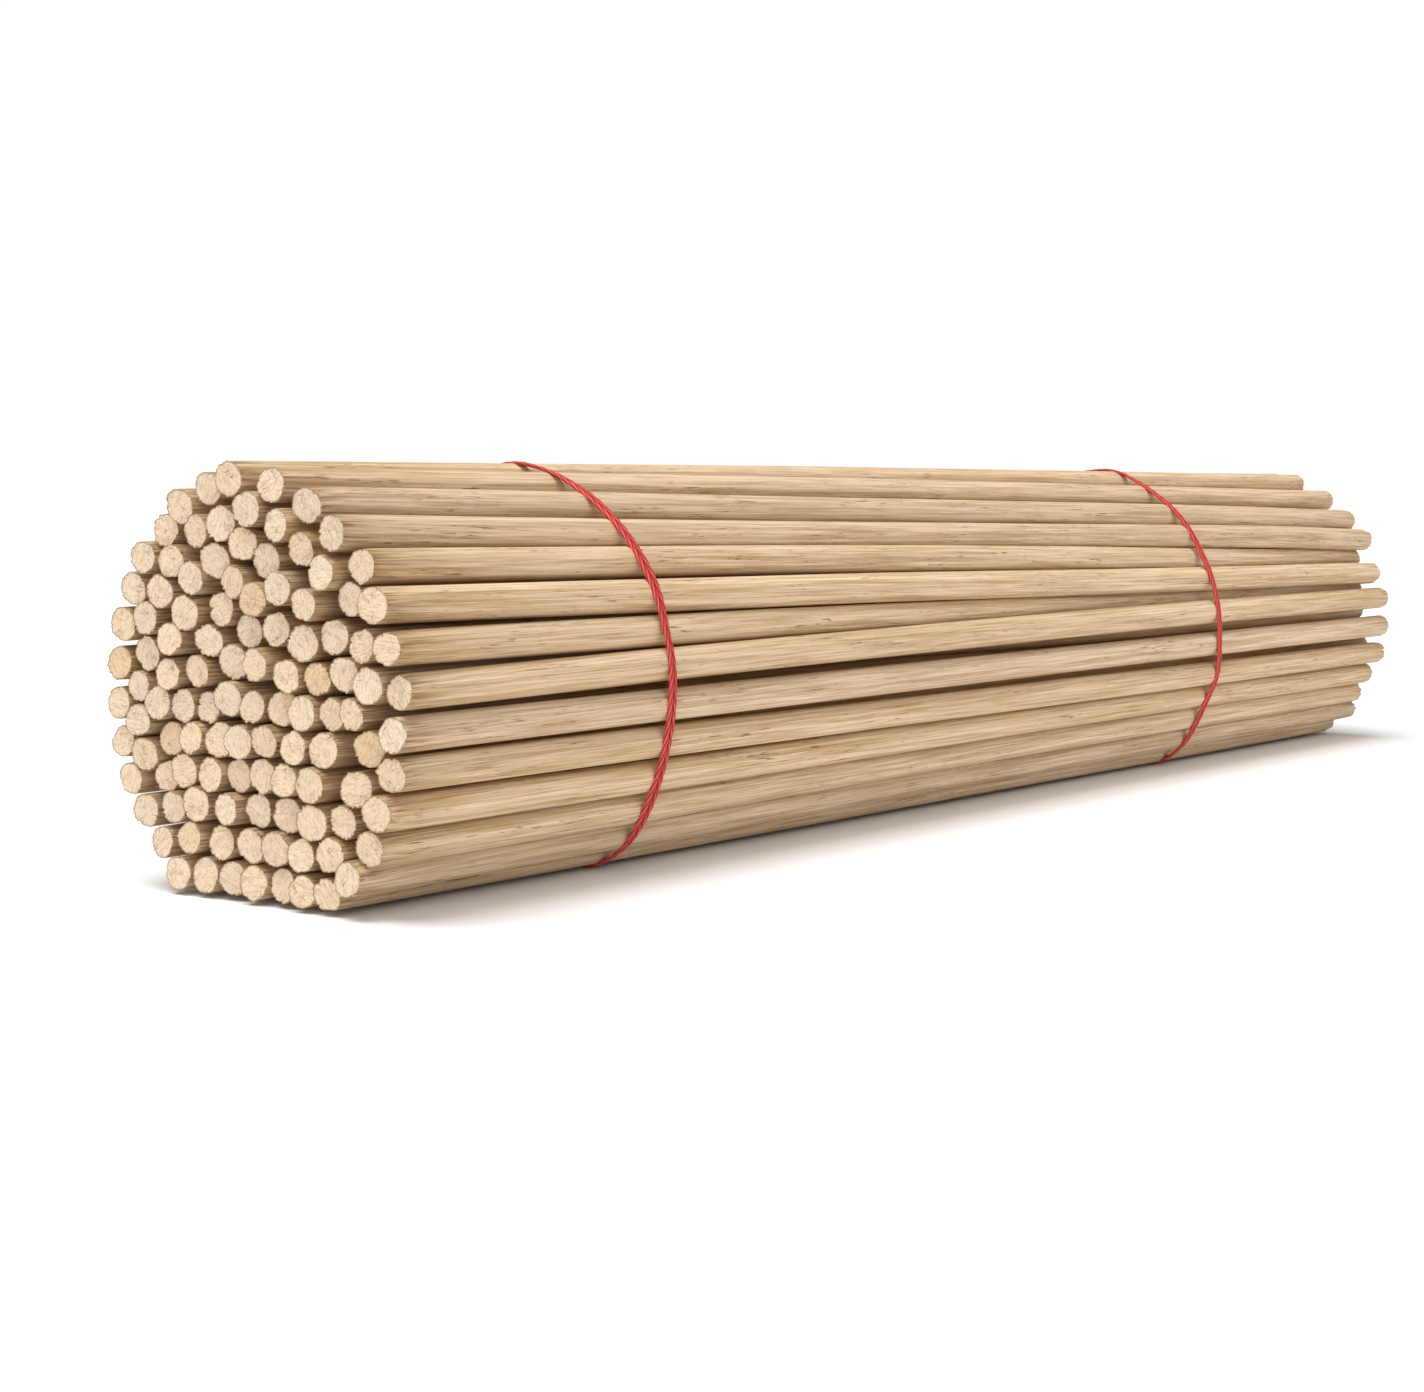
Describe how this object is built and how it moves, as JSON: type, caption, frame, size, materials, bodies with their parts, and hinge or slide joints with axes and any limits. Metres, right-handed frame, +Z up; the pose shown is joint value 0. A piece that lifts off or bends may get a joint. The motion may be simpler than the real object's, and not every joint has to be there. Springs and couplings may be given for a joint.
{
  "type": "bundle of straight peeled sticks",
  "caption": "Bundle of straight peeled wooden sticks lying on its side, held together near both ends by thin red doubled bands, with rough-cut pale ends.",
  "frame": {"origin": "on the surface the bundle lies on, under the middle of its bounding box", "axes": "+X along the sticks from the near ends to the far ends, +Y away from the side that the picture shows, +Z up"},
  "size_m": [0.3, 0.0582, 0.0583],
  "materials": {
    "wood": "matt peeled wood with fine grain, pale rough-cut ends",
    "red_band": "satin red elastic"
  },
  "bodies": {
    "root": {"outer_stick_01": "wood", "outer_stick_02": "wood", "outer_stick_03": "wood", "outer_stick_04": "wood", "outer_stick_05": "wood", "outer_stick_06": "wood", "outer_stick_07": "wood", "outer_stick_08": "wood", "outer_stick_09": "wood", "outer_stick_10": "wood", "outer_stick_11": "wood", "outer_stick_12": "wood", "outer_stick_13": "wood", "outer_stick_14": "wood", "outer_stick_15": "wood", "outer_stick_16": "wood", "outer_stick_17": "wood", "outer_stick_18": "wood", "outer_stick_19": "wood", "outer_stick_20": "wood", "outer_stick_21": "wood", "outer_stick_22": "wood", "outer_stick_23": "wood", "outer_stick_24": "wood", "outer_stick_25": "wood", "outer_stick_26": "wood", "outer_stick_27": "wood", "outer_stick_28": "wood", "outer_stick_29": "wood", "outer_stick_30": "wood", "outer_stick_31": "wood", "outer_stick_32": "wood", "second_stick_01": "wood", "second_stick_02": "wood", "second_stick_03": "wood", "second_stick_04": "wood", "second_stick_05": "wood", "second_stick_06": "wood", "second_stick_07": "wood", "second_stick_08": "wood", "second_stick_09": "wood", "second_stick_10": "wood", "second_stick_11": "wood", "second_stick_12": "wood", "second_stick_13": "wood", "second_stick_14": "wood", "second_stick_15": "wood", "second_stick_16": "wood", "second_stick_17": "wood", "second_stick_18": "wood", "second_stick_19": "wood", "second_stick_20": "wood", "second_stick_21": "wood", "second_stick_22": "wood", "second_stick_23": "wood", "second_stick_24": "wood", "second_stick_25": "wood", "inner_sticks": "wood", "near_band": "red_band", "far_band": "red_band"}
  },
  "joints": []
}
